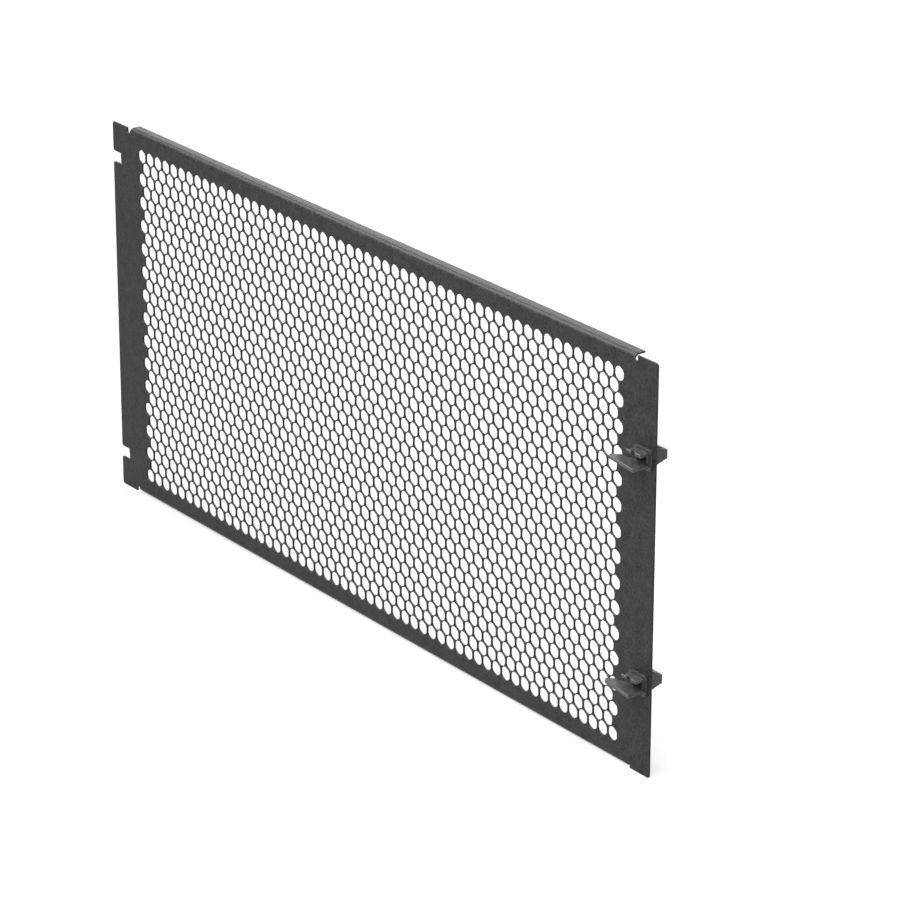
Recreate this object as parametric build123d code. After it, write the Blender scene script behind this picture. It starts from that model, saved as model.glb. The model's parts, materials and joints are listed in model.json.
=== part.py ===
from build123d import *
import math
import os

# Vented blanking panel for a 19 inch rack: one folded steel sheet that hooks into the rack on the left
# and snaps in on the right with two plastic clips.
# X runs along the width, Z up and +Y to the rear. The origin is the middle of the sheet's rear face,
# the plane that seats on the rack's rails. All lengths are in millimetres.

# The rack that the panel fits: the opening between its rails and the square holes in them
rack_unit = 44.45
units_high = 5
rack_opening = 450.0
rail_hole = 9.5
rail_hole_inset = 7.55
first_hole_drop = 6.35
rail_grip = 3.0

# The folded sheet
ear_overhang = 8.75
height_allowance = 0.75
sheet = 1.0
bend_inner_radius = 2.0
flange_depth = 7.0
flange_end_clearance = 1.3
relief_width = 2.4
relief_extra = 0.2
corner_radius = 1.5
bend_lap = 0.5

# The honeycomb field, with hexagons that stand on a point
hex_pitch = 16.0
hex_wall = 1.6
mesh_side_margin = 25.5
mesh_land = 2.0

# The hook tongues in the left ear's notches, placed from the middles of the rail's holes
notch_height = 6.4
notch_corner_radius = 1.5
hook_outward_offset = 1.4
hook_leg_offset = 2.15
hook_side_gap = 0.6
hook_bend_radius = 0.8
hook_reach = 5.4

# The snap clips in the right ear's cut-outs
hole_clearance = 0.3
cutout_clearance = 0.15
cutout_side_room = 1.1
cutout_corner_radius = 0.5
bezel_side_lip = 2.05
bezel_top_lip = 0.45
bezel_bottom_lip = 1.65
bezel_thickness = 1.6
bezel_corner_radius = 1.2
bezel_notch_depth = 1.75
bezel_notch_height = 6.0
side_wall = 1.15
arm_gap = 0.25
arm_thickness = 1.2
arm_bar = 0.95
window_gap = 0.15
barb_reach = 0.85
barb_land = 0.6
nose_length = 8.0
nose_thickness = 2.0
nose_half_height = 2.6
nose_chamfer = 1.1

# The finger tab above and the finger wing below, in front of each clip's bezel
lever_gap = 0.3
tab_width = 11.0
tab_reach = 7.2
tab_thickness = 1.3
tab_drop = 0.4
tab_lip_height = 0.6
tab_lip_length = 0.9
fork_width = 2.8
fork_depth = 1.7
wing_right = 6.2
wing_left = 17.5
wing_reach = 12.2
wing_thickness = 1.3
wing_step_back = 1.4
wing_end_reach = 9.6
wing_end_cut = 2.2
wing_tail = 4.0
wing_neck = 5.5
wing_rim_height = 1.7
wing_rim_width = 1.1
wing_front_chamfer = 0.6

# Sizes that follow from the ones above
rail_hole_spacing = rack_opening + 2 * rail_hole_inset
panel_width = rail_hole_spacing + 2 * ear_overhang
panel_height = units_high * rack_unit - height_allowance
bend_outer_radius = bend_inner_radius + sheet
flange_length = rack_opening - 2 * flange_end_clearance
relief_depth = bend_outer_radius + relief_extra
hex_across_flats = hex_pitch - hex_wall
hex_height = hex_across_flats * 2 / math.sqrt(3)
row_pitch = hex_pitch * math.sqrt(3) / 2
mesh_end_margin = bend_outer_radius + mesh_land
clip_x = rail_hole_spacing / 2
clip_z = (units_high / 2 - 1) * rack_unit - first_hole_drop
hook_z = (units_high / 2 - 1 / 2) * rack_unit + hook_outward_offset
notch_depth = ear_overhang - hook_leg_offset
front_face = -sheet
body_half = (rail_hole - hole_clearance * 2) / 2
bezel_width = 2 * (body_half + bezel_side_lip)
bezel_top = body_half + bezel_top_lip
bezel_bottom = body_half + bezel_bottom_lip
bezel_front = front_face - bezel_thickness
arm_outer = bezel_top - arm_bar - window_gap
arm_inner = arm_outer - arm_thickness
arm_half_width = body_half - side_wall - arm_gap
lever_back = bezel_front - lever_gap
nose_end = rail_grip + nose_length
nose_start = nose_end - nose_thickness
barb_tip = rail_hole / 2 + barb_reach


def plate(sketch, thickness):
    """A sketch of X and Z, made a plate whose rear face lies in the seat plane."""
    return extrude(Plane.XZ * sketch, amount=thickness)


def side_solid(points, half_width):
    """A profile of Y and Z points, made solid to both sides of the middle of X."""
    profile = make_face(Polyline(*points, close=True))
    return extrude(Plane.YZ * profile, amount=half_width, both=True)


def hexagon_centres():
    """The middles of the honeycomb's holes, in staggered rows about the middle of the sheet."""
    rows = math.floor((panel_height - 2 * mesh_end_margin - hex_height) / row_pitch) + 1
    columns = math.floor((panel_width - 2 * mesh_side_margin - hex_across_flats) / hex_pitch) + 1
    centres = []
    for row in range(rows):
        holes = columns - row % 2
        for hole in range(holes):
            x = (hole - (holes - 1) / 2) * hex_pitch
            z = (row - (rows - 1) / 2) * row_pitch
            centres.append((x, z))
    return centres


def clip_cutout():
    """The opening for one clip's body, wider than the body so that the clip can find its rack hole."""
    half_height = body_half + cutout_clearance
    half_width = body_half + cutout_side_room
    return RectangleRounded(2 * half_width, 2 * half_height, cutout_corner_radius)


def sheet_outline():
    """The flat sheet's edge, with the ears at full height and the flanges' bends cut away between them."""
    outline = RectangleRounded(panel_width, panel_height, corner_radius)
    bend_band = Rectangle(flange_length + relief_width, 2 * bend_outer_radius)
    slot_x = (flange_length + relief_width) / 2
    slot = SlotOverall(4 * relief_depth, relief_width, rotation=90)
    for edge in (-1, 1):
        outline -= Pos(0, edge * panel_height / 2) * bend_band
        for end in (-1, 1):
            slot_z = edge * (panel_height / 2 + relief_depth)
            outline -= Pos(end * slot_x, slot_z) * slot
        outline -= Pos(0, edge * hook_z) * hook_notch()
    return outline


def hook_notch():
    """The notch in the left ear that a hook tongue is bent out of, with rounded outer corners."""
    root_x = -panel_width / 2 + notch_depth + hook_bend_radius + sheet
    left_x = -panel_width / 2
    r = notch_corner_radius
    half = notch_height / 2
    opening = Pos((left_x + root_x) / 2, 0) * Rectangle(root_x - left_x, notch_height)
    for side in (-1, 1):
        square = Pos(left_x + r / 2, side * (half + r / 2)) * Rectangle(r, r)
        round_corner = Pos(left_x + r, side * (half + r)) * Circle(r)
        opening += square - round_corner
    return opening


def flat_sheet():
    """The sheet between the bends, with the honeycomb and the clips' cut-outs."""
    outer = sheet_outline().face().outer_wire()
    hexagon = RegularPolygon(hex_across_flats / 2, 6, major_radius=False, rotation=30).face().outer_wire()
    cutout = clip_cutout().face().outer_wire()
    holes = [hexagon.moved(Pos(x, z)) for x, z in hexagon_centres()]
    holes += [cutout.moved(Pos(clip_x, side * clip_z)) for side in (-1, 1)]
    return plate(Face(outer, holes), sheet)


def bent_strip(path, across, width):
    """A strip of the sheet's thickness, swept along a path through the middle of its thickness."""
    section = Plane(origin=path @ 0, x_dir=across, z_dir=path % 0) * Rectangle(width, sheet)
    return sweep(section, path)


def flange(edge):
    """A return flange with its bend, along the top edge (1) or the bottom edge (-1)."""
    middle_y = -sheet / 2
    start_z = panel_height / 2 - bend_outer_radius - bend_lap
    top_z = panel_height / 2 - sheet / 2
    rear_y = flange_depth - sheet
    points = [(0, middle_y, edge * start_z), (0, middle_y, edge * top_z), (0, rear_y, edge * top_z)]
    path = FilletPolyline(*points, radius=bend_inner_radius + sheet / 2)
    return bent_strip(path, (1, 0, 0), flange_length)


def hook(z):
    """A hook tongue: out of the notch to the rear, through a rack hole and outward behind the rail."""
    leg_x = -panel_width / 2 + notch_depth + sheet / 2
    root_x = -panel_width / 2 + notch_depth + sheet + hook_bend_radius + bend_lap
    lip_y = rail_grip + sheet / 2
    tip_x = leg_x + sheet / 2 - sheet - hook_reach
    points = [(root_x, -sheet / 2, z), (leg_x, -sheet / 2, z), (leg_x, lip_y, z), (tip_x, lip_y, z)]
    path = FilletPolyline(*points, radius=hook_bend_radius + sheet / 2)
    return bent_strip(path, (0, 0, 1), notch_height - 2 * hook_side_gap)


def vented_panel():
    """The whole folded sheet as one solid."""
    folds = [flange(edge) for edge in (-1, 1)]
    folds += [hook(edge * hook_z) for edge in (-1, 1)]
    return flat_sheet() + folds


def bezel():
    """The clip's front plate, which covers the cut-out and is notched at mid-height on both sides."""
    height = bezel_top + bezel_bottom
    outline = Pos(0, (bezel_top - bezel_bottom) / 2) * RectangleRounded(bezel_width, height, bezel_corner_radius)
    window = Rectangle(2 * (body_half - side_wall), 2 * (arm_outer + window_gap))
    outline -= window
    for side in (-1, 1):
        notch_x = side * (bezel_width - bezel_notch_depth) / 2
        outline -= Pos(notch_x, 0) * Rectangle(bezel_notch_depth, bezel_notch_height)
    return Pos(0, front_face, 0) * plate(outline, bezel_thickness)


def side_walls():
    """The two walls that carry the clip through the rack hole, from the bezel to the nose."""
    points = [
        (front_face, body_half),
        (rail_grip, body_half),
        (nose_start, nose_half_height),
        (nose_start, -nose_half_height),
        (rail_grip, -body_half),
        (front_face, -body_half),
    ]
    inner = body_half - side_wall
    return side_solid(points, body_half) - Box(2 * inner, 4 * nose_end, 4 * body_half)


def nose():
    """The clip's rear end, which joins the walls and the spring arms and leads the clip into its hole."""
    middle_y = (nose_start + nose_end) / 2
    block = Pos(0, middle_y, 0) * Box(2 * body_half, nose_thickness, 2 * nose_half_height)
    return chamfer(block.faces().sort_by(Axis.Y)[-1].edges(), nose_chamfer)


def spring_arm():
    """The upper spring arm, from the nose past the barb and out through the bezel's window."""
    points = [
        (lever_back, arm_outer),
        (rail_grip, arm_outer),
        (rail_grip, barb_tip),
        (rail_grip + barb_land, barb_tip),
        (nose_start, nose_half_height),
        (nose_start, nose_half_height - arm_thickness),
        (rail_grip + barb_land, arm_inner),
        (lever_back, arm_inner),
    ]
    return side_solid(points, arm_half_width)


def finger_tab():
    """The upper finger tab, with a raised lip along its forked tip."""
    tip = front_face - tab_reach
    lip_back = tip + tab_lip_length
    tip_top = arm_outer - tab_drop
    points = [
        (lever_back, arm_outer),
        (lip_back + tab_lip_height, tip_top),
        (lip_back, tip_top + tab_lip_height),
        (tip, tip_top + tab_lip_height),
        (tip, tip_top - tab_thickness),
        (lever_back, arm_outer - tab_thickness),
    ]
    tab = side_solid(points, tab_width / 2)
    return tab - Pos(0, tip, arm_outer) * Box(fork_width, 2 * fork_depth, 4 * tab_thickness)


def finger_wing():
    """The lower finger wing, a thin plate swept to a blunt end on the left, with a rim along its front."""
    right_front = (wing_right, front_face - wing_reach)
    left_front = (-wing_left + wing_end_cut, front_face - wing_end_reach)
    outline = [
        (wing_right, lever_back),
        right_front,
        left_front,
        (-wing_left, front_face - wing_end_reach + wing_end_cut),
        (-wing_left + wing_tail, lever_back - wing_step_back),
        (-wing_neck, lever_back),
    ]
    rim_back = [(x, y + wing_rim_width) for x, y in (left_front, right_front)]
    wing = extrude(make_face(Polyline(*outline, close=True)), amount=wing_thickness)
    wing += extrude(make_face(Polyline(right_front, left_front, *rim_back, close=True)), amount=wing_rim_height)
    front_edge = wing.edges().group_by(Axis.Z)[-1].sort_by(Axis.Y)[0]
    return Pos(0, 0, -arm_outer) * chamfer(front_edge, wing_front_chamfer)


def snap_clip():
    """One plastic clip about the middle of its rack hole, as a single moulding."""
    clip = bezel() + side_walls() + nose()
    clip += spring_arm() + spring_arm().mirror(Plane.XY)
    clip += finger_tab() + finger_wing()
    return clip


def build():
    """Every piece of the product by name."""
    clip = snap_clip()
    return {
        "vented_panel": vented_panel(),
        "upper_snap_clip": Pos(clip_x, 0, clip_z) * clip,
        "lower_snap_clip": Pos(clip_x, 0, -clip_z) * clip,
    }


os.makedirs("parts", exist_ok=True)
for name, piece in build().items():
    export_step(piece, f"parts/{name}.step")
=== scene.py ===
"""A vented steel blanking panel for an equipment rack, with its two plastic snap clips.

The panel is one folded sheet that hooks into the rack on the left and snaps in on the right.
Everything is in metres, with X along the width, Z up and +Y to the rear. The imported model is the
fixed frame: its boxes and mounts give the places here.
"""

import json
import logging
import math
from dataclasses import dataclass
from enum import Enum

import bmesh
import bpy
from mathutils import Matrix, Vector

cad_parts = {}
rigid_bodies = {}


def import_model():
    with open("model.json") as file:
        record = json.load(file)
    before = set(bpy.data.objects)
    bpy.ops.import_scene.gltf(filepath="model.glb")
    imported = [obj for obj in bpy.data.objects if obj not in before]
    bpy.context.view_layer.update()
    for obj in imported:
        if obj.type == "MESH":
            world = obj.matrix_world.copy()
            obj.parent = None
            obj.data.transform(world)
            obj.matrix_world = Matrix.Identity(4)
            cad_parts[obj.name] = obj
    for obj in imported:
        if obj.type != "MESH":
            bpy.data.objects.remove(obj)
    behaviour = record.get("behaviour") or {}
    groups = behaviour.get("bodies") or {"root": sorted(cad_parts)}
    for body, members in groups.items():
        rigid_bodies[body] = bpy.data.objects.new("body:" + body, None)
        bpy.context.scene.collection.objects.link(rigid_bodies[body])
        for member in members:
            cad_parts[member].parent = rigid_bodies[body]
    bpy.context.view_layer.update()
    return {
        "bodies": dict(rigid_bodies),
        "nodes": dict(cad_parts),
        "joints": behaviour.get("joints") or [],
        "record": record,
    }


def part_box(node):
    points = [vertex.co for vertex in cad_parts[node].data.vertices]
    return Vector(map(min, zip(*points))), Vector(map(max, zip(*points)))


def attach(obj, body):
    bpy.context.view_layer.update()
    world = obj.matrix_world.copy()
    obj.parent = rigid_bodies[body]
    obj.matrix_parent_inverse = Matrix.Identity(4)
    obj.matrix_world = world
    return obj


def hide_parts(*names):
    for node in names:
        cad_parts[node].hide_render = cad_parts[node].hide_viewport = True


LOG = logging.getLogger("blanking_panel")

# The body that every piece rides on.
BODY = "root"
# The face attribute that marks rounded edges. The plastic's polish reads it.
ROUNDED = "rounded"
# Points closer together than this are one point, on the sheet and on the finer clips.
WELD = 1e-5
FINE_WELD = 1e-6
# Stands a flat shape up in the sheet's plane.
UPRIGHT = Matrix.Rotation(math.pi / 2, 4, "X")
HEXAGON_SIDES = 6
WHITE = (1.0, 1.0, 1.0, 1.0)
NOISE_MIDDLE = 0.5
# The Mix node's sockets for colours, by number, because its other sockets have the same names.
MIX_FACTOR = 0
MIX_FIRST_COLOUR = 6
MIX_SECOND_COLOUR = 7
MIX_COLOUR_RESULT = 2


class Side(Enum):
    """The two sides of the panel, by the sign of X."""

    LEFT = -1
    RIGHT = 1


class Value:
    """A shader value that Python's operators work on, by adding Math nodes."""

    def __init__(self, graph: "Graph", socket: bpy.types.NodeSocket | None) -> None:
        """Wraps one output socket of a graph's node, or none for a node that ends a graph."""
        self.graph = graph
        self.socket = socket

    def _math(self, operation: str, first: "Value | float", second: "Value | float") -> "Value":
        """Adds one Math node.

        Args:
            operation: The node's operation, such as ADD.
            first: Its first number.
            second: Its second number.

        Returns:
            The node's result.
        """
        return self.graph.node("ShaderNodeMath", {"operation": operation}, {0: first, 1: second})

    def __add__(self, other: "Value | float") -> "Value":
        """Self plus other."""
        return self._math("ADD", self, other)

    __radd__ = __add__

    def __sub__(self, other: "Value | float") -> "Value":
        """Self less other."""
        return self._math("SUBTRACT", self, other)

    def __mul__(self, other: "Value | float") -> "Value":
        """Self times other."""
        return self._math("MULTIPLY", self, other)

    def clamped(self) -> "Value":
        """Self, held between 0 and 1."""
        return self._math("MINIMUM", self._math("MAXIMUM", self, 0.0), 1.0)


class Graph:
    """The node tree of one material or of the world."""

    def __init__(self, tree: bpy.types.NodeTree) -> None:
        """Starts with an empty tree."""
        tree.nodes.clear()
        self.tree = tree

    def node(
        self,
        kind: str,
        settings: dict[str, object] | None = None,
        inputs: dict[str | int, object] | None = None,
        output: str | int = 0,
    ) -> Value:
        """Adds a node, with its settings made before its sockets.

        Args:
            kind: The node's type.
            settings: The node's properties by name.
            inputs: A Value to link, or a plain value, for each socket by name or number.
            output: The socket to return.

        Returns:
            The chosen output.
        """
        made = self.tree.nodes.new(kind)
        for name, setting in (settings or {}).items():
            setattr(made, name, setting)
        for name, given in (inputs or {}).items():
            if isinstance(given, Value):
                self.tree.links.new(given.socket, made.inputs[name])
            else:
                made.inputs[name].default_value = given
        return Value(self, made.outputs[output] if made.outputs else None)

    def noise(self, place: Value, size: float, detail: float) -> Value:
        """Adds soft random spots.

        Args:
            place: The coordinates that the spots are laid on.
            size: About how wide one spot is, in metres.
            detail: How many finer layers it has.

        Returns:
            A value of about 0 to 1, with NOISE_MIDDLE as its middle.
        """
        return self.node(
            "ShaderNodeTexNoise",
            inputs={"Vector": place, "Scale": 1 / size, "Detail": detail},
        )

    def blend(self, factor: Value, first: tuple[float, ...], second: tuple[float, ...]) -> Value:
        """Adds a colour between two.

        Args:
            factor: 0 for the first colour and 1 for the second.
            first: Red, green and blue.
            second: Red, green and blue.

        Returns:
            The mixed colour.
        """
        return self.node(
            "ShaderNodeMix",
            {"data_type": "RGBA"},
            {
                MIX_FACTOR: factor,
                MIX_FIRST_COLOUR: (*first, 1.0),
                MIX_SECOND_COLOUR: (*second, 1.0),
            },
            output=MIX_COLOUR_RESULT,
        )


def new_material(name: str) -> tuple[bpy.types.Material, Graph]:
    """Starts a material with an empty graph.

    Args:
        name: The material's name.

    Returns:
        The material and its graph.
    """
    material = bpy.data.materials.new(name)
    material.use_nodes = True
    return material, Graph(material.node_tree)


@dataclass(frozen=True)
class PebbledCoat:
    """A dark coat with a finely pebbled skin, as powder coat and spark-eroded mouldings have.

    Attributes:
        name: The material's name.
        colour: The paint's colour, linear.
        mottle: How far the colour goes up and down, as a share.
        mottle_size: The width of its cloudy spots.
        roughness: The skin's roughness.
        roughness_spread: How far the roughness goes up and down.
        pebble_size: The width of the skin's pebbles.
        pebble_height: Their height.
        gloss: The specular level.
        contrast: How sharply the spots stand apart.
        cloud_share: The clouds' part in the spots. The pebbles have the rest.
        cloud_detail: How many finer layers the clouds have.
        pebble_detail: How many finer layers the pebbles have.
        edge_polish: How much less rough its rounded edges are.
    """

    name: str
    colour: tuple[float, float, float]
    mottle: float
    mottle_size: float
    roughness: float
    roughness_spread: float
    pebble_size: float
    pebble_height: float
    gloss: float
    contrast: float = 2.0
    cloud_share: float = 0.4
    cloud_detail: float = 4.0
    pebble_detail: float = 1.0
    edge_polish: float = 0.0

    def material(self) -> bpy.types.Material:
        """Makes the material.

        Returns:
            The finished material.
        """
        material, graph = new_material(self.name)
        place = graph.node("ShaderNodeTexCoord", output="Object")
        clouds = graph.noise(place, self.mottle_size, self.cloud_detail)
        pebbles = graph.noise(place, self.pebble_size, self.pebble_detail)
        mixed = clouds * self.cloud_share + pebbles * (1 - self.cloud_share)
        spots = ((mixed - NOISE_MIDDLE) * self.contrast + NOISE_MIDDLE).clamped()
        darker = tuple(channel * (1 - self.mottle) for channel in self.colour)
        lighter = tuple(channel * (1 + self.mottle) for channel in self.colour)
        roughness = self.roughness + (clouds - NOISE_MIDDLE) * (2 * self.roughness_spread)
        if self.edge_polish:
            rounded = graph.node("ShaderNodeAttribute", {"attribute_name": ROUNDED}, output="Fac")
            roughness = roughness - rounded * self.edge_polish
        skin = graph.node(
            "ShaderNodeBump",
            inputs={"Height": pebbles, "Distance": self.pebble_height, "Strength": 1.0},
        )
        shader = graph.node(
            "ShaderNodeBsdfPrincipled",
            inputs={
                "Base Color": graph.blend(spots, darker, lighter),
                "Roughness": roughness,
                "Specular IOR Level": self.gloss,
                "Normal": skin,
            },
        )
        graph.node("ShaderNodeOutputMaterial", inputs={"Surface": shader})
        return material


POWDER_COAT = PebbledCoat(
    name="black_powder_coat",
    colour=(0.0225, 0.0205, 0.0214),
    mottle=0.8,
    mottle_size=0.006,
    roughness=0.4,
    roughness_spread=0.06,
    pebble_size=0.0012,
    pebble_height=0.00012,
    gloss=0.14,
)
CLIP_PLASTIC = PebbledCoat(
    name="black_clip_plastic",
    colour=(0.037, 0.037, 0.037),
    mottle=0.75,
    mottle_size=0.0025,
    roughness=0.42,
    roughness_spread=0.06,
    pebble_size=0.0008,
    pebble_height=0.00005,
    gloss=0.45,
    edge_polish=0.24,
)


def array(mesh: bmesh.types.BMesh, step: Vector, count: int) -> None:
    """Repeats all of a mesh in a straight row, which is a spin of no angle.

    Args:
        mesh: The mesh, changed in place.
        step: From one copy to the next.
        count: How many there are in all.
    """
    geometry = mesh.verts[:] + mesh.edges[:] + mesh.faces[:]
    bmesh.ops.spin(
        mesh,
        geom=geometry,
        cent=(0, 0, 0),
        axis=(0, 1, 0),
        dvec=step,
        angle=0,
        steps=count - 1,
        use_duplicate=True,
    )


def absorb(mesh: bmesh.types.BMesh, part: bmesh.types.BMesh) -> None:
    """Moves a mesh into another and frees it.

    Args:
        mesh: The mesh that grows.
        part: The mesh that goes into it.
    """
    carrier = bpy.data.meshes.new("carrier")
    part.to_mesh(carrier)
    part.free()
    mesh.from_mesh(carrier)
    bpy.data.meshes.remove(carrier)


def finished_object(
    name: str,
    mesh: bmesh.types.BMesh,
    material: bpy.types.Material,
    sharp_turn: float,
) -> bpy.types.Object:
    """Turns a mesh into a shaded object at the origin and frees it.

    Args:
        name: The object's name.
        mesh: The mesh, in its place.
        material: The finish.
        sharp_turn: Edges that turn by more than this many degrees stay sharp.

    Returns:
        The new object.
    """
    for face in mesh.faces:
        face.smooth = True
    for edge in mesh.edges:
        edge.seam = False
        edge.smooth = edge.calc_face_angle(0.0) < math.radians(sharp_turn)
    data = bpy.data.meshes.new(name)
    mesh.to_mesh(data)
    mesh.free()
    data.materials.append(material)
    made = bpy.data.objects.new(name, data)
    bpy.context.scene.collection.objects.link(made)
    weighting = made.modifiers.new("even_shading", "WEIGHTED_NORMAL")
    weighting.keep_sharp = True
    return made


class Wire:
    """A chain of edges in the sheet's plane, drawn by growing its last vertex."""

    def __init__(self, mesh: bmesh.types.BMesh, x: float, y: float, z: float) -> None:
        """Starts the chain at one point.

        Args:
            mesh: The mesh that the chain grows in.
            x: The point's X.
            y: Its Y, which the whole chain keeps.
            z: Its Z.
        """
        self.mesh = mesh
        self.y = y
        self.tip = mesh.verts.new((x, y, z))

    def line_to(self, x: float, z: float) -> None:
        """Grows a straight edge to a point."""
        self.tip = bmesh.ops.extrude_vert_indiv(self.mesh, verts=[self.tip])["verts"][0]
        self.tip.co = (x, self.y, z)

    def arc(self, x: float, z: float, degrees: float, steps: int) -> None:
        """Grows an arc.

        Args:
            x: The centre's X.
            z: The centre's Z.
            degrees: How far it turns about +Y.
            steps: How many edges it has.
        """
        grown = bmesh.ops.spin(
            self.mesh,
            geom=[self.tip],
            cent=(x, self.y, z),
            axis=(0, 1, 0),
            angle=math.radians(degrees),
            steps=steps,
            use_duplicate=False,
        )
        self.tip = next(item for item in grown["geom_last"] if isinstance(item, bmesh.types.BMVert))


@dataclass
class FoldedPanel:
    """The vented sheet: drawn flat as one skin, then folded and thickened.

    Attributes:
        low: The lowest corner of the CAD node's box.
        high: Its highest corner.
        hooks: The middle of each hook tongue's leg.
        clips: The middle of each clip's cut-out.
        node: The CAD node that it stands for.
        slot: The name of a material slot. It is not used.
        bend_radius: The outer radius of the flanges' bends.
        bend_steps: How many steps any bend is made in.
        flange_length: The length of both return flanges.
        relief_width: The width of the relief slot at each end of a flange.
        relief_depth: How far the slot goes in from the sheet's edge.
        relief_steps: How many edges the slot's round end has.
        corner_radius: The radius of the ears' corners and of the notches' mouths.
        corner_steps: How many edges such a corner has.
        notch_height: The height of the notch about each hook tongue.
        tongue_height: The tongue's own height.
        tongue_reach: How far the tongue's lip reaches outward from its leg.
        hook_inner_radius: The inner radius of the tongue's bends.
        rail_grip: The thickest rail that fits between the sheet and the lip.
        cutout_width: The width of the opening for a clip.
        cutout_height: Its height.
        cutout_corner: The radius of its corners.
        cutout_steps: How many edges such a corner has.
        pitch: From one hole of the honeycomb to the next in its row.
        wall: The thickness of the honeycomb's walls.
        hole_corner_cut: How much is cut off a hole's corners.
        rows: How many rows of holes there are.
        long_row: How many holes the longer rows have. The others have one less.
        rim_round: The radius that the coat gives the sheet's edges.
        rim_turn: Edges that turn by more than this many degrees get that radius.
        sharp_turn: Edges that turn by more than this many degrees are shaded sharp.
    """

    low: Vector
    high: Vector
    hooks: list[Vector]
    clips: list[Vector]
    node: str = "vented_panel"
    slot: str = "powder_coated_steel"
    bend_radius: float = 0.003
    bend_steps: int = 8
    flange_length: float = 0.4474
    relief_width: float = 0.0024
    relief_depth: float = 0.0032
    relief_steps: int = 6
    corner_radius: float = 0.0015
    corner_steps: int = 5
    notch_height: float = 0.0064
    tongue_height: float = 0.0052
    tongue_reach: float = 0.0054
    hook_inner_radius: float = 0.0008
    rail_grip: float = 0.003
    cutout_width: float = 0.0111
    cutout_height: float = 0.0092
    cutout_corner: float = 0.0005
    cutout_steps: int = 3
    pitch: float = 0.008
    wall: float = 0.00065
    hole_corner_cut: float = 0.0008
    rows: int = 29
    long_row: int = 54
    rim_round: float = 0.00012
    rim_turn: float = 50.0
    sharp_turn: float = 35.0

    @property
    def front(self) -> float:
        """Y of the front face."""
        return self.low.y

    @property
    def sheet(self) -> float:
        """The sheet's thickness: its rear face is at Y = 0."""
        return -self.low.y

    @property
    def bend_z(self) -> float:
        """Z of the upper bend line, where the flat sheet ends."""
        return self.high.z - self.bend_radius

    @property
    def row_pitch(self) -> float:
        """From one row of holes to the next."""
        return self.pitch * math.sqrt(3) / 2

    def build(self) -> bpy.types.Object:
        """Makes the folded panel.

        Returns:
            The panel's object, in place of the CAD node.
        """
        mesh = bmesh.new()
        self._draw_outline(mesh)
        self._draw_cutouts(mesh)
        self._lay_honeycomb(mesh)
        self._fill_border(mesh)
        for edge in (-1, 1):
            self._fold_flange(mesh, edge)
        for hook in self.hooks:
            self._fold_hook(mesh, hook)
        self._thicken(mesh)
        self._round_rims(mesh)
        panel = finished_object("vented_sheet", mesh, POWDER_COAT.material(), self.sharp_turn)
        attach(panel, BODY)
        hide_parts(self.node)
        return panel

    def _draw_outline(self, mesh: bmesh.types.BMesh) -> None:
        """Draws the flat sheet's edge: both ears' upper halves, mirrored to the lower.

        Args:
            mesh: The skin, still empty.
        """
        for side in Side:
            self._draw_ear(mesh, side)
        upper = mesh.verts[:] + mesh.edges[:]
        bmesh.ops.mirror(mesh, geom=upper, matrix=Matrix.Identity(4), merge_dist=WELD, axis="Z")
        bmesh.ops.remove_doubles(mesh, verts=mesh.verts, dist=WELD)

    def _draw_ear(self, mesh: bmesh.types.BMesh, side: Side) -> None:
        """Draws one ear's upper half, from the middle of the bend line down to mid-height.

        Args:
            mesh: The skin.
            side: Which ear. The left one has a notch for its hook.
        """
        sign = side.value
        half = self.relief_width / 2
        inner = self.flange_length / 2
        outer = self.high.x
        slot_z = self.high.z - self.relief_depth + half
        # The angle above level at which the slot's round end meets the bend line.
        slot_start = math.degrees(math.asin((self.bend_z - slot_z) / half))
        slot_edge = inner + half - half * math.cos(math.radians(slot_start))
        wire = Wire(mesh, 0.0, self.front, self.bend_z)
        wire.line_to(sign * inner, self.bend_z)
        wire.line_to(sign * slot_edge, self.bend_z)
        wire.arc(sign * (inner + half), slot_z, sign * -(180 + slot_start), self.relief_steps)
        wire.line_to(sign * (inner + 2 * half), self.high.z)
        corner_x = sign * (outer - self.corner_radius)
        wire.line_to(corner_x, self.high.z)
        wire.arc(corner_x, self.high.z - self.corner_radius, sign * 90, self.corner_steps)
        if side is Side.LEFT:
            self._draw_notch(wire, max(self.hooks, key=lambda hook: hook.z))
        wire.line_to(sign * outer, 0.0)

    def _draw_notch(self, wire: Wire, hook: Vector) -> None:
        """Draws the open notch that a hook tongue is bent out of, going down the left edge.

        Args:
            wire: The outline so far.
            hook: The middle of the tongue's leg.
        """
        edge_x = self.low.x
        round_x = edge_x + self.corner_radius
        root_x = self._hook_root(hook)
        top = hook.z + self.notch_height / 2
        bottom = hook.z - self.notch_height / 2
        wire.line_to(edge_x, top + self.corner_radius)
        wire.arc(round_x, top + self.corner_radius, -90, self.corner_steps)
        wire.line_to(root_x, top)
        wire.line_to(root_x, hook.z + self.tongue_height / 2)
        wire.line_to(root_x, hook.z - self.tongue_height / 2)
        wire.line_to(root_x, bottom)
        wire.line_to(round_x, bottom)
        wire.arc(round_x, bottom - self.corner_radius, -90, self.corner_steps)

    def _hook_root(self, hook: Vector) -> float:
        """X of the line that a hook tongue is bent along."""
        return hook.x + self.sheet / 2 + self.hook_inner_radius

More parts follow.
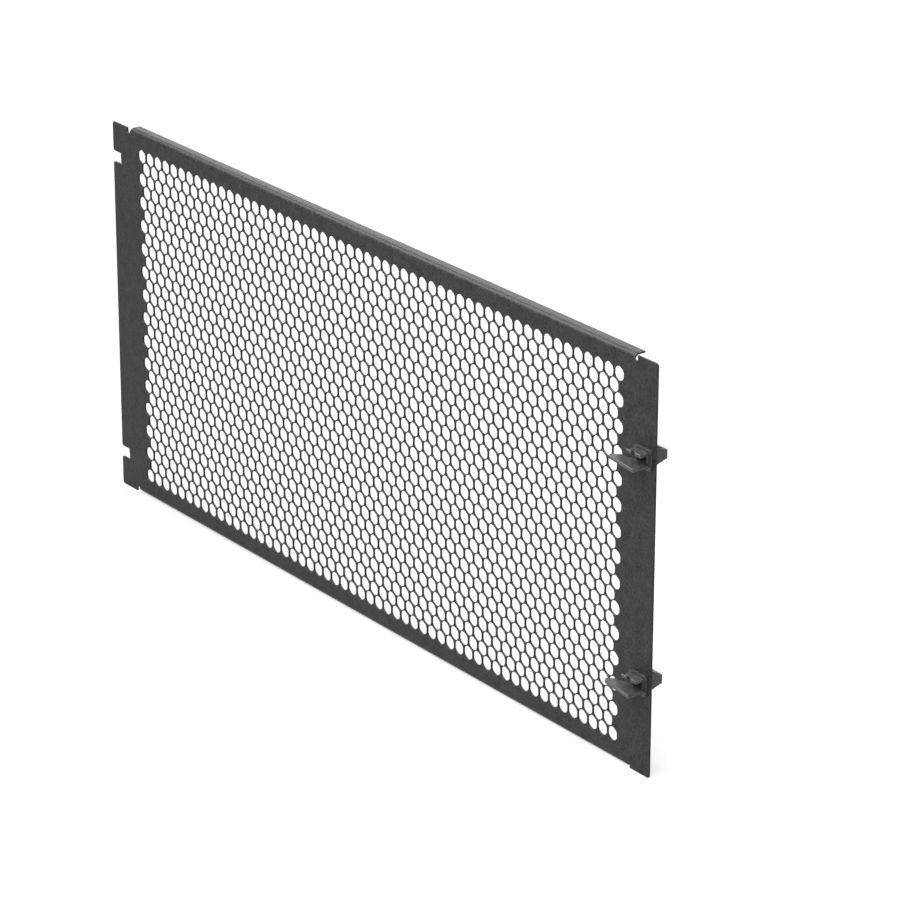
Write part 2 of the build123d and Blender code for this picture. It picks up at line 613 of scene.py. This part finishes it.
    def _draw_cutouts(self, mesh: bmesh.types.BMesh) -> None:
        """Draws the rounded openings that the clips snap through.

        Args:
            mesh: The skin.
        """
        for clip in self.clips:
            spread = Matrix.Diagonal((self.cutout_width / 2, self.cutout_height / 2, 1.0, 1.0))
            place = Matrix.Translation((clip.x, self.front, clip.z)) @ UPRIGHT @ spread
            corners = bmesh.ops.create_grid(
                mesh,
                x_segments=1,
                y_segments=1,
                size=1.0,
                matrix=place,
            )["verts"]
            opening = corners[0].link_faces[0]
            bmesh.ops.delete(mesh, geom=[opening], context="FACES_ONLY")
            bmesh.ops.bevel(
                mesh,
                geom=corners,
                offset=self.cutout_corner,
                offset_type="OFFSET",
                affect="VERTICES",
                segments=self.cutout_steps,
                profile=0.5,
                material=-1,
            )

    def _hexagon(self, mesh: bmesh.types.BMesh, width: float) -> list[bmesh.types.BMVert]:
        """Adds an upright hexagon at the middle of the front face.

        Args:
            mesh: The mesh that it goes into.
            width: From flat side to flat side, along X.

        Returns:
            Its six corners.
        """
        return bmesh.ops.create_circle(
            mesh,
            segments=HEXAGON_SIDES,
            radius=width / math.sqrt(3),
            matrix=Matrix.Translation((0, self.front, 0)) @ UPRIGHT,
        )["verts"]

    def _cell(self) -> bmesh.types.BMesh:
        """Makes one hexagon of sheet about a hole with its corners cut.

        Returns:
            The cell's own mesh. Seams mark the hole's edge.
        """
        cell = bmesh.new()
        outer = self._hexagon(cell, self.pitch)
        outline = {edge for vert in outer for edge in vert.link_edges}
        hole = self._hexagon(cell, self.pitch - self.wall)
        bmesh.ops.bevel(
            cell,
            geom=hole,
            offset=self.hole_corner_cut,
            offset_type="OFFSET",
            affect="VERTICES",
            segments=1,
            profile=0.5,
            material=-1,
        )
        for edge in cell.edges:
            edge.seam = edge not in outline
        bmesh.ops.bridge_loops(cell, edges=cell.edges[:])
        return cell

    def _lay_honeycomb(self, mesh: bmesh.types.BMesh) -> None:
        """Lays the staggered rows of cells about the middle of the sheet.

        Args:
            mesh: The skin.
        """
        low_z = -(self.rows - 1) / 2 * self.row_pitch
        for first_row, holes in enumerate((self.long_row, self.long_row - 1)):
            block = self._cell()
            low_x = -(holes - 1) / 2 * self.pitch
            start = Vector((low_x, 0, low_z + first_row * self.row_pitch))
            bmesh.ops.translate(block, verts=block.verts, vec=start)
            array(block, Vector((self.pitch, 0, 0)), holes)
            array(block, Vector((0, 0, 2 * self.row_pitch)), (self.rows + 1 - first_row) // 2)
            absorb(mesh, block)
        bmesh.ops.remove_doubles(mesh, verts=mesh.verts, dist=WELD)

    def _fill_border(self, mesh: bmesh.types.BMesh) -> None:
        """Fills the plain sheet between the outline, the cut-outs and the honeycomb's ragged edge.

        Args:
            mesh: The skin.
        """
        edges = [edge for edge in mesh.edges if not edge.seam and len(edge.link_faces) < 2]
        bmesh.ops.triangle_fill(
            mesh,
            edges=edges,
            use_beauty=True,
            use_dissolve=False,
            normal=(0, -1, 0),
        )
        mesh.normal_update()
        bmesh.ops.reverse_faces(mesh, faces=[face for face in mesh.faces if face.normal.y > 0])

    def _fold(
        self,
        mesh: bmesh.types.BMesh,
        edges: list[bmesh.types.BMEdge],
        centre: Vector,
        axis: Vector,
        run: Vector,
    ) -> list[bmesh.types.BMEdge]:
        """Bends the skin by a right angle from some edges, and carries it on straight.

        Args:
            mesh: The skin.
            edges: Where the bend starts.
            centre: A point on the bend's axis.
            axis: The bend's axis, about which it turns by the right-hand rule.
            run: The straight run after the bend.

        Returns:
            The edges at the end of the run.
        """
        corners = list(dict.fromkeys(vert for edge in edges for vert in edge.verts))
        bent = bmesh.ops.spin(
            mesh,
            geom=edges + corners,
            cent=centre,
            axis=axis,
            angle=math.pi / 2,
            steps=self.bend_steps,
            use_duplicate=False,
        )["geom_last"]
        ends = [item for item in bent if isinstance(item, bmesh.types.BMEdge)]
        grown = bmesh.ops.extrude_edge_only(mesh, edges=ends)["geom"]
        moved = [item for item in grown if isinstance(item, bmesh.types.BMVert)]
        bmesh.ops.translate(mesh, verts=moved, vec=run)
        last = [item for item in grown if isinstance(item, bmesh.types.BMEdge)]
        return [edge for edge in last if set(edge.verts) <= set(moved)]

    def _fold_flange(self, mesh: bmesh.types.BMesh, edge: int) -> None:
        """Folds one return flange to the rear.

        Args:
            mesh: The skin.
            edge: 1 for the top and -1 for the bottom.
        """
        line_z = edge * self.bend_z
        reach = self.flange_length / 2 + WELD
        bend_line = [
            item
            for item in mesh.edges
            if all(abs(vert.co.z - line_z) < WELD and abs(vert.co.x) < reach for vert in item.verts)
        ]
        centre = Vector((0, self.front + self.bend_radius, line_z))
        run = Vector((0, self.high.y - centre.y, 0))
        self._fold(mesh, bend_line, centre, Vector((-edge, 0, 0)), run)

    def _fold_hook(self, mesh: bmesh.types.BMesh, hook: Vector) -> None:
        """Folds one hook tongue: to the rear through its rack hole, then outward behind the rail.

        Args:
            mesh: The skin.
            hook: The middle of the tongue's leg.
        """
        root_x = self._hook_root(hook)
        inner = self.hook_inner_radius
        reach = self.tongue_height / 2 + WELD
        root = [
            item
            for item in mesh.edges
            if all(
                abs(vert.co.x - root_x) < WELD and abs(vert.co.z - hook.z) < reach
                for vert in item.verts
            )
        ]
        root_centre = Vector((root_x, self.front + inner + self.sheet, hook.z))
        lip_centre = Vector((hook.x - self.sheet / 2 - inner, self.rail_grip - inner, hook.z))
        leg = Vector((0, lip_centre.y - root_centre.y, 0))
        lip = Vector((inner - self.tongue_reach, 0, 0))
        leg_end = self._fold(mesh, root, root_centre, Vector((0, 0, -1)), leg)
        self._fold(mesh, leg_end, lip_centre, Vector((0, 0, 1)), lip)

    def _thicken(self, mesh: bmesh.types.BMesh) -> None:
        """Gives the skin the sheet's thickness, towards its back.

        Args:
            mesh: The skin, which becomes the whole sheet.
        """
        bmesh.ops.recalc_face_normals(mesh, faces=mesh.faces)
        mesh.normal_update()
        flat = max(mesh.faces, key=lambda face: abs(face.normal.y) * face.calc_area())
        if flat.normal.y > 0:
            bmesh.ops.reverse_faces(mesh, faces=mesh.faces)
        mesh.normal_update()
        bmesh.ops.solidify(mesh, geom=mesh.faces[:], thickness=self.sheet)
        bmesh.ops.recalc_face_normals(mesh, faces=mesh.faces)

    def _round_rims(self, mesh: bmesh.types.BMesh) -> None:
        """Rounds the sheet's edges as its coat does, and the punched holes' on the front alone.

        Args:
            mesh: The sheet.
        """
        field_x = self.long_row / 2 * self.pitch + self.wall
        field_z = (self.rows + 1) / 2 * self.row_pitch + self.wall
        rims = []
        for edge in mesh.edges:
            if edge.calc_face_angle(0.0) < math.radians(self.rim_turn):
                continue
            in_field = all(
                abs(vert.co.x) < field_x and abs(vert.co.z) < field_z for vert in edge.verts
            )
            on_front = all(vert.co.y < self.front + WELD for vert in edge.verts)
            if on_front or not in_field:
                rims.append(edge)
        bmesh.ops.bevel(
            mesh,
            geom=rims,
            offset=self.rim_round,
            offset_type="OFFSET",
            affect="EDGES",
            segments=1,
            profile=0.5,
            material=-1,
        )


@dataclass
class SnapClip:
    """One moulded clip: its CAD solid with the soft edges of a moulding.

    Attributes:
        node: The CAD node that it stands for.
        middle: The middle of its rack hole. The finger tab is above it and the wing below.
        slot: The name of a material slot. It is not used.
        edge_radius: The rounding of every sharp edge.
        edge_segments: How many faces that rounding has.
        tip_radius: The rounding of the tab's tip and of the wing's front edge.
        tip_segments: How many faces that rounding has.
        flat_turn: Faces that turn by less than this many degrees are joined into one.
        round_turn: Edges that turn by more than this many degrees are rounded.
        sharp_turn: Edges that turn by more than this many degrees are shaded sharp.
        upward: A face looks up if its normal's Z is over this.
        forward: A face looks forward if its normal's Y is below this.
    """

    node: str
    middle: Vector
    slot: str = "black_plastic"
    edge_radius: float = 0.00022
    edge_segments: int = 2
    tip_radius: float = 0.0006
    tip_segments: int = 4
    flat_turn: float = 1.0
    round_turn: float = 28.0
    sharp_turn: float = 40.0
    upward: float = 0.9
    forward: float = -0.3

    def build(self, frame: dict, material: bpy.types.Material) -> bpy.types.Object:
        """Makes the clip.

        Args:
            material: The clips' plastic.

        Returns:
            The clip's object, in place of the CAD node.
        """
        mesh = bmesh.new()
        mesh.from_mesh(frame["nodes"][self.node].data)
        bmesh.ops.remove_doubles(mesh, verts=mesh.verts, dist=FINE_WELD)
        bmesh.ops.dissolve_limit(
            mesh,
            angle_limit=math.radians(self.flat_turn),
            verts=mesh.verts,
            edges=mesh.edges,
        )
        mesh.faces.layers.float.new(ROUNDED)
        mesh.normal_update()
        tips = [*self._tip_edges(mesh), self._wing_edge(mesh)]
        self._round(mesh, tips, self.tip_radius, self.tip_segments)
        limit = math.radians(self.round_turn)
        edges = [edge for edge in mesh.edges if edge.calc_face_angle(0.0) > limit]
        self._round(mesh, edges, self.edge_radius, self.edge_segments)
        bmesh.ops.dissolve_degenerate(mesh, edges=mesh.edges, dist=FINE_WELD)
        clip = finished_object(f"moulded_{self.node}", mesh, material, self.sharp_turn)
        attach(clip, BODY)
        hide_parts(self.node)
        return clip

    def _tip_edges(self, mesh: bmesh.types.BMesh) -> list[bmesh.types.BMEdge]:
        """Finds the level edges along the finger tab's forked tip.

        Args:
            mesh: The clip.

        Returns:
            The edges at the front of what lies above the rack hole's middle.
        """
        tip = min(vert.co.y for vert in mesh.verts if vert.co.z > self.middle.z)
        return [
            edge
            for edge in mesh.edges
            if all(vert.co.y < tip + WELD and vert.co.z > self.middle.z for vert in edge.verts)
            and abs(edge.verts[0].co.z - edge.verts[1].co.z) < WELD
        ]

    def _wing_edge(self, mesh: bmesh.types.BMesh) -> bmesh.types.BMEdge:
        """Finds the long upper edge along the finger wing's front.

        Args:
            mesh: The clip.

        Returns:
            The longest edge below the rack hole's middle between a face that looks up and one
            that looks forward.
        """
        candidates = [
            edge
            for edge in mesh.edges
            if all(vert.co.z < self.middle.z for vert in edge.verts)
            and max(face.normal.z for face in edge.link_faces) > self.upward
            and min(face.normal.y for face in edge.link_faces) < self.forward
        ]
        return max(candidates, key=lambda edge: edge.calc_length())

    def _round(
        self,
        mesh: bmesh.types.BMesh,
        edges: list[bmesh.types.BMEdge],
        radius: float,
        segments: int,
    ) -> None:
        """Rounds some edges and marks the new faces as rounded.

        Args:
            mesh: The clip.
            edges: The edges.
            radius: The rounding's radius.
            segments: How many faces it has.
        """
        made = bmesh.ops.bevel(
            mesh,
            geom=edges,
            offset=radius,
            offset_type="OFFSET",
            affect="EDGES",
            segments=segments,
            profile=0.5,
            material=-1,
            clamp_overlap=True,
        )
        mark = mesh.faces.layers.float[ROUNDED]
        for face in made["faces"]:
            face[mark] = 1.0


@dataclass(frozen=True)
class SoftLamp:
    """A rectangular studio lamp.

    Attributes:
        name: The lamp's name.
        place: Where it hangs.
        width: Its level side.
        height: Its other side.
        power: In watts.
        target: What it points at.
        spread: How wide its light fans out, in degrees.
    """

    name: str
    place: tuple[float, float, float]
    width: float
    height: float
    power: float
    target: tuple[float, float, float] = (0.0, 0.0, 0.0)
    spread: float = 180.0

    def hang(self) -> None:
        """Adds the lamp to the scene."""
        data = bpy.data.lights.new(self.name, "AREA")
        data.shape = "RECTANGLE"
        data.size = self.width
        data.size_y = self.height
        data.energy = self.power
        data.spread = math.radians(self.spread)
        lamp = bpy.data.objects.new(self.name, data)
        lamp.location = self.place
        direction = Vector(self.target) - Vector(self.place)
        lamp.rotation_euler = direction.to_track_quat("-Z", "Y").to_euler()
        lamp.visible_camera = False
        bpy.context.scene.collection.objects.link(lamp)


BACK_TOP_LAMP = SoftLamp(
    name="back_top_lamp",
    place=(0.0, 1.35, 2.05),
    width=1.0,
    height=1.0,
    power=42.0,
)
OVERHEAD_LAMP = SoftLamp(
    name="overhead_lamp",
    place=(-0.2, -0.6, 2.1),
    width=1.2,
    height=1.2,
    power=34.0,
)
LEFT_BACK_LAMP = SoftLamp(
    name="left_back_lamp",
    place=(-1.8, 1.35, 0.95),
    width=0.9,
    height=0.9,
    power=7.0,
)
LEFT_LAMP = SoftLamp(
    name="left_lamp",
    place=(-0.56, -0.32, 0.84),
    width=0.9,
    height=0.6,
    power=2.3,
    target=(0.25, 0.0, 0.05),
    spread=60.0,
)
FRONT_LAMP = SoftLamp(
    name="front_lamp",
    place=(0.9, -1.05, 0.75),
    width=0.9,
    height=0.9,
    power=20.0,
)


@dataclass(frozen=True)
class Studio:
    """The pale floor, the soft light and the camera.

    Attributes:
        floor_z: The floor's height.
        floor_radius: How far it reaches.
        floor_sides: How many sides its round edge has.
        floor_tone: How much light the floor gives back.
        near_glow: The floor's own glow in the middle, where the lamps light it too.
        far_glow: Its glow away from the lamps.
        lit_radius: How far the lamps' light reaches on the floor.
        ambient: The strength of the light from all round.
        camera_place: Where the camera stands.
        camera_target: The point of the panel in the middle of the picture.
        camera_roll: How far the camera is turned about its line of sight, in degrees.
        lens: The focal length in millimetres.
        sensor_width: The width of the camera's frame in millimetres.
        lamps: The lamps that hang about the panel.
    """

    floor_z: float
    floor_radius: float = 12.0
    floor_sides: int = 64
    floor_tone: float = 0.3
    near_glow: float = 0.55
    far_glow: float = 0.87
    lit_radius: float = 3.0
    ambient: float = 0.35
    camera_place: tuple[float, float, float] = (1.652, -1.1915, 0.813)
    camera_target: tuple[float, float, float] = (0.0742, 0.0005, 0.0118)
    camera_roll: float = 0.12
    lens: float = 164.6
    sensor_width: float = 36.0
    lamps: tuple[SoftLamp, ...] = (
        BACK_TOP_LAMP,
        OVERHEAD_LAMP,
        LEFT_BACK_LAMP,
        LEFT_LAMP,
        FRONT_LAMP,
    )

    def build(self) -> None:
        """Adds everything."""
        self._lay_floor()
        self._light_world()
        for lamp in self.lamps:
            lamp.hang()
        self._place_camera()
        bpy.context.scene.view_settings.view_transform = "Standard"

    def _lay_floor(self) -> None:
        """Lays a round floor that reads as white and still takes the panel's shadow."""
        mesh = bmesh.new()
        bmesh.ops.create_circle(
            mesh,
            cap_ends=True,
            segments=self.floor_sides,
            radius=self.floor_radius,
            matrix=Matrix.Translation((0, 0, self.floor_z)),
        )
        data = bpy.data.meshes.new("studio_floor")
        mesh.to_mesh(data)
        mesh.free()
        data.materials.append(self._floor_material())
        floor = bpy.data.objects.new("studio_floor", data)
        bpy.context.scene.collection.objects.link(floor)

    def _floor_material(self) -> bpy.types.Material:
        """Makes the floor matt, and white by a glow that only the camera and reflections see.

        The glow is stronger where the lamps reach less.

        Returns:
            The floor's material.
        """
        material, graph = new_material("pale_floor")
        seen = self._seen_directly(graph)
        place = graph.node("ShaderNodeTexCoord", output="Object")
        distance = graph.node(
            "ShaderNodeVectorMath",
            {"operation": "LENGTH"},
            {0: place},
            output="Value",
        )
        reach = graph.node(
            "ShaderNodeMapRange",
            {"interpolation_type": "SMOOTHSTEP"},
            {
                "Value": distance,
                "From Min": 0.0,
                "From Max": self.lit_radius,
                "To Min": self.near_glow,
                "To Max": self.far_glow,
            },
        )
        tone = self.floor_tone
        paper = graph.node("ShaderNodeBsdfDiffuse", inputs={"Color": (tone, tone, tone, 1.0)})
        glow = graph.node("ShaderNodeEmission", inputs={"Color": WHITE, "Strength": seen * reach})
        shader = graph.node("ShaderNodeAddShader", inputs={0: paper, 1: glow})
        graph.node("ShaderNodeOutputMaterial", inputs={"Surface": shader})
        return material

    def _seen_directly(self, graph: Graph) -> Value:
        """Tells what is shown from what only lights the object.

        Args:
            graph: The graph that asks.

        Returns:
            1 for what the camera, a reflection or a clear piece shows, and 0 for light on the
            object.
        """
        camera = graph.node("ShaderNodeLightPath", output="Is Camera Ray")
        glossy = graph.node("ShaderNodeLightPath", output="Is Glossy Ray")
        clear = graph.node("ShaderNodeLightPath", output="Is Transmission Ray")
        return (camera + glossy + clear).clamped()

    def _light_world(self) -> None:
        """Lights the scene evenly from all round, white where it is seen."""
        world = bpy.data.worlds.new("studio_world")
        world.use_nodes = True
        bpy.context.scene.world = world
        graph = Graph(world.node_tree)
        seen = self._seen_directly(graph)
        strength = self.ambient + seen * (1 - self.ambient)
        sky = graph.node("ShaderNodeBackground", inputs={"Color": WHITE, "Strength": strength})
        graph.node("ShaderNodeOutputWorld", inputs={"Surface": sky})

    def _place_camera(self) -> None:
        """Sets the camera at the photograph's viewing angle."""
        data = bpy.data.cameras.new("camera")
        data.lens = self.lens
        data.sensor_width = self.sensor_width
        camera = bpy.data.objects.new("camera", data)
        place = Vector(self.camera_place)
        aim = (Vector(self.camera_target) - place).to_track_quat("-Z", "Y").to_matrix().to_4x4()
        roll = Matrix.Rotation(math.radians(self.camera_roll), 4, "Z")
        camera.matrix_world = Matrix.Translation(place) @ aim @ roll
        bpy.context.scene.collection.objects.link(camera)
        bpy.context.scene.camera = camera


def main() -> None:
    """Builds the panel, the clips and the studio, and notes the sizes."""
    logging.basicConfig(level=logging.INFO, format="%(name)s: %(message)s")
    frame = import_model()
    mounts = {mount["name"]: Vector(mount["pos_m"]) for mount in frame["record"]["mounts"]}
    low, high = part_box("vented_panel")
    panel = FoldedPanel(
        low=low,
        high=high,
        hooks=[mounts["upper_rail_hook"], mounts["lower_rail_hook"]],
        clips=[mounts["upper_rail_clip"], mounts["lower_rail_clip"]],
    )
    plastic = CLIP_PLASTIC.material()
    pieces = [panel.build()]
    for place in ("upper", "lower"):
        clip = SnapClip(node=f"{place}_snap_clip", middle=mounts[f"{place}_rail_clip"])
        pieces.append(clip.build(frame, plastic))
    for piece in pieces:
        triangles = sum(len(face.vertices) - 2 for face in piece.data.polygons)
        LOG.info("%s: %d triangles", piece.name, triangles)
    Studio(floor_z=low.z).build()


if __name__ == "__main__":
    main()
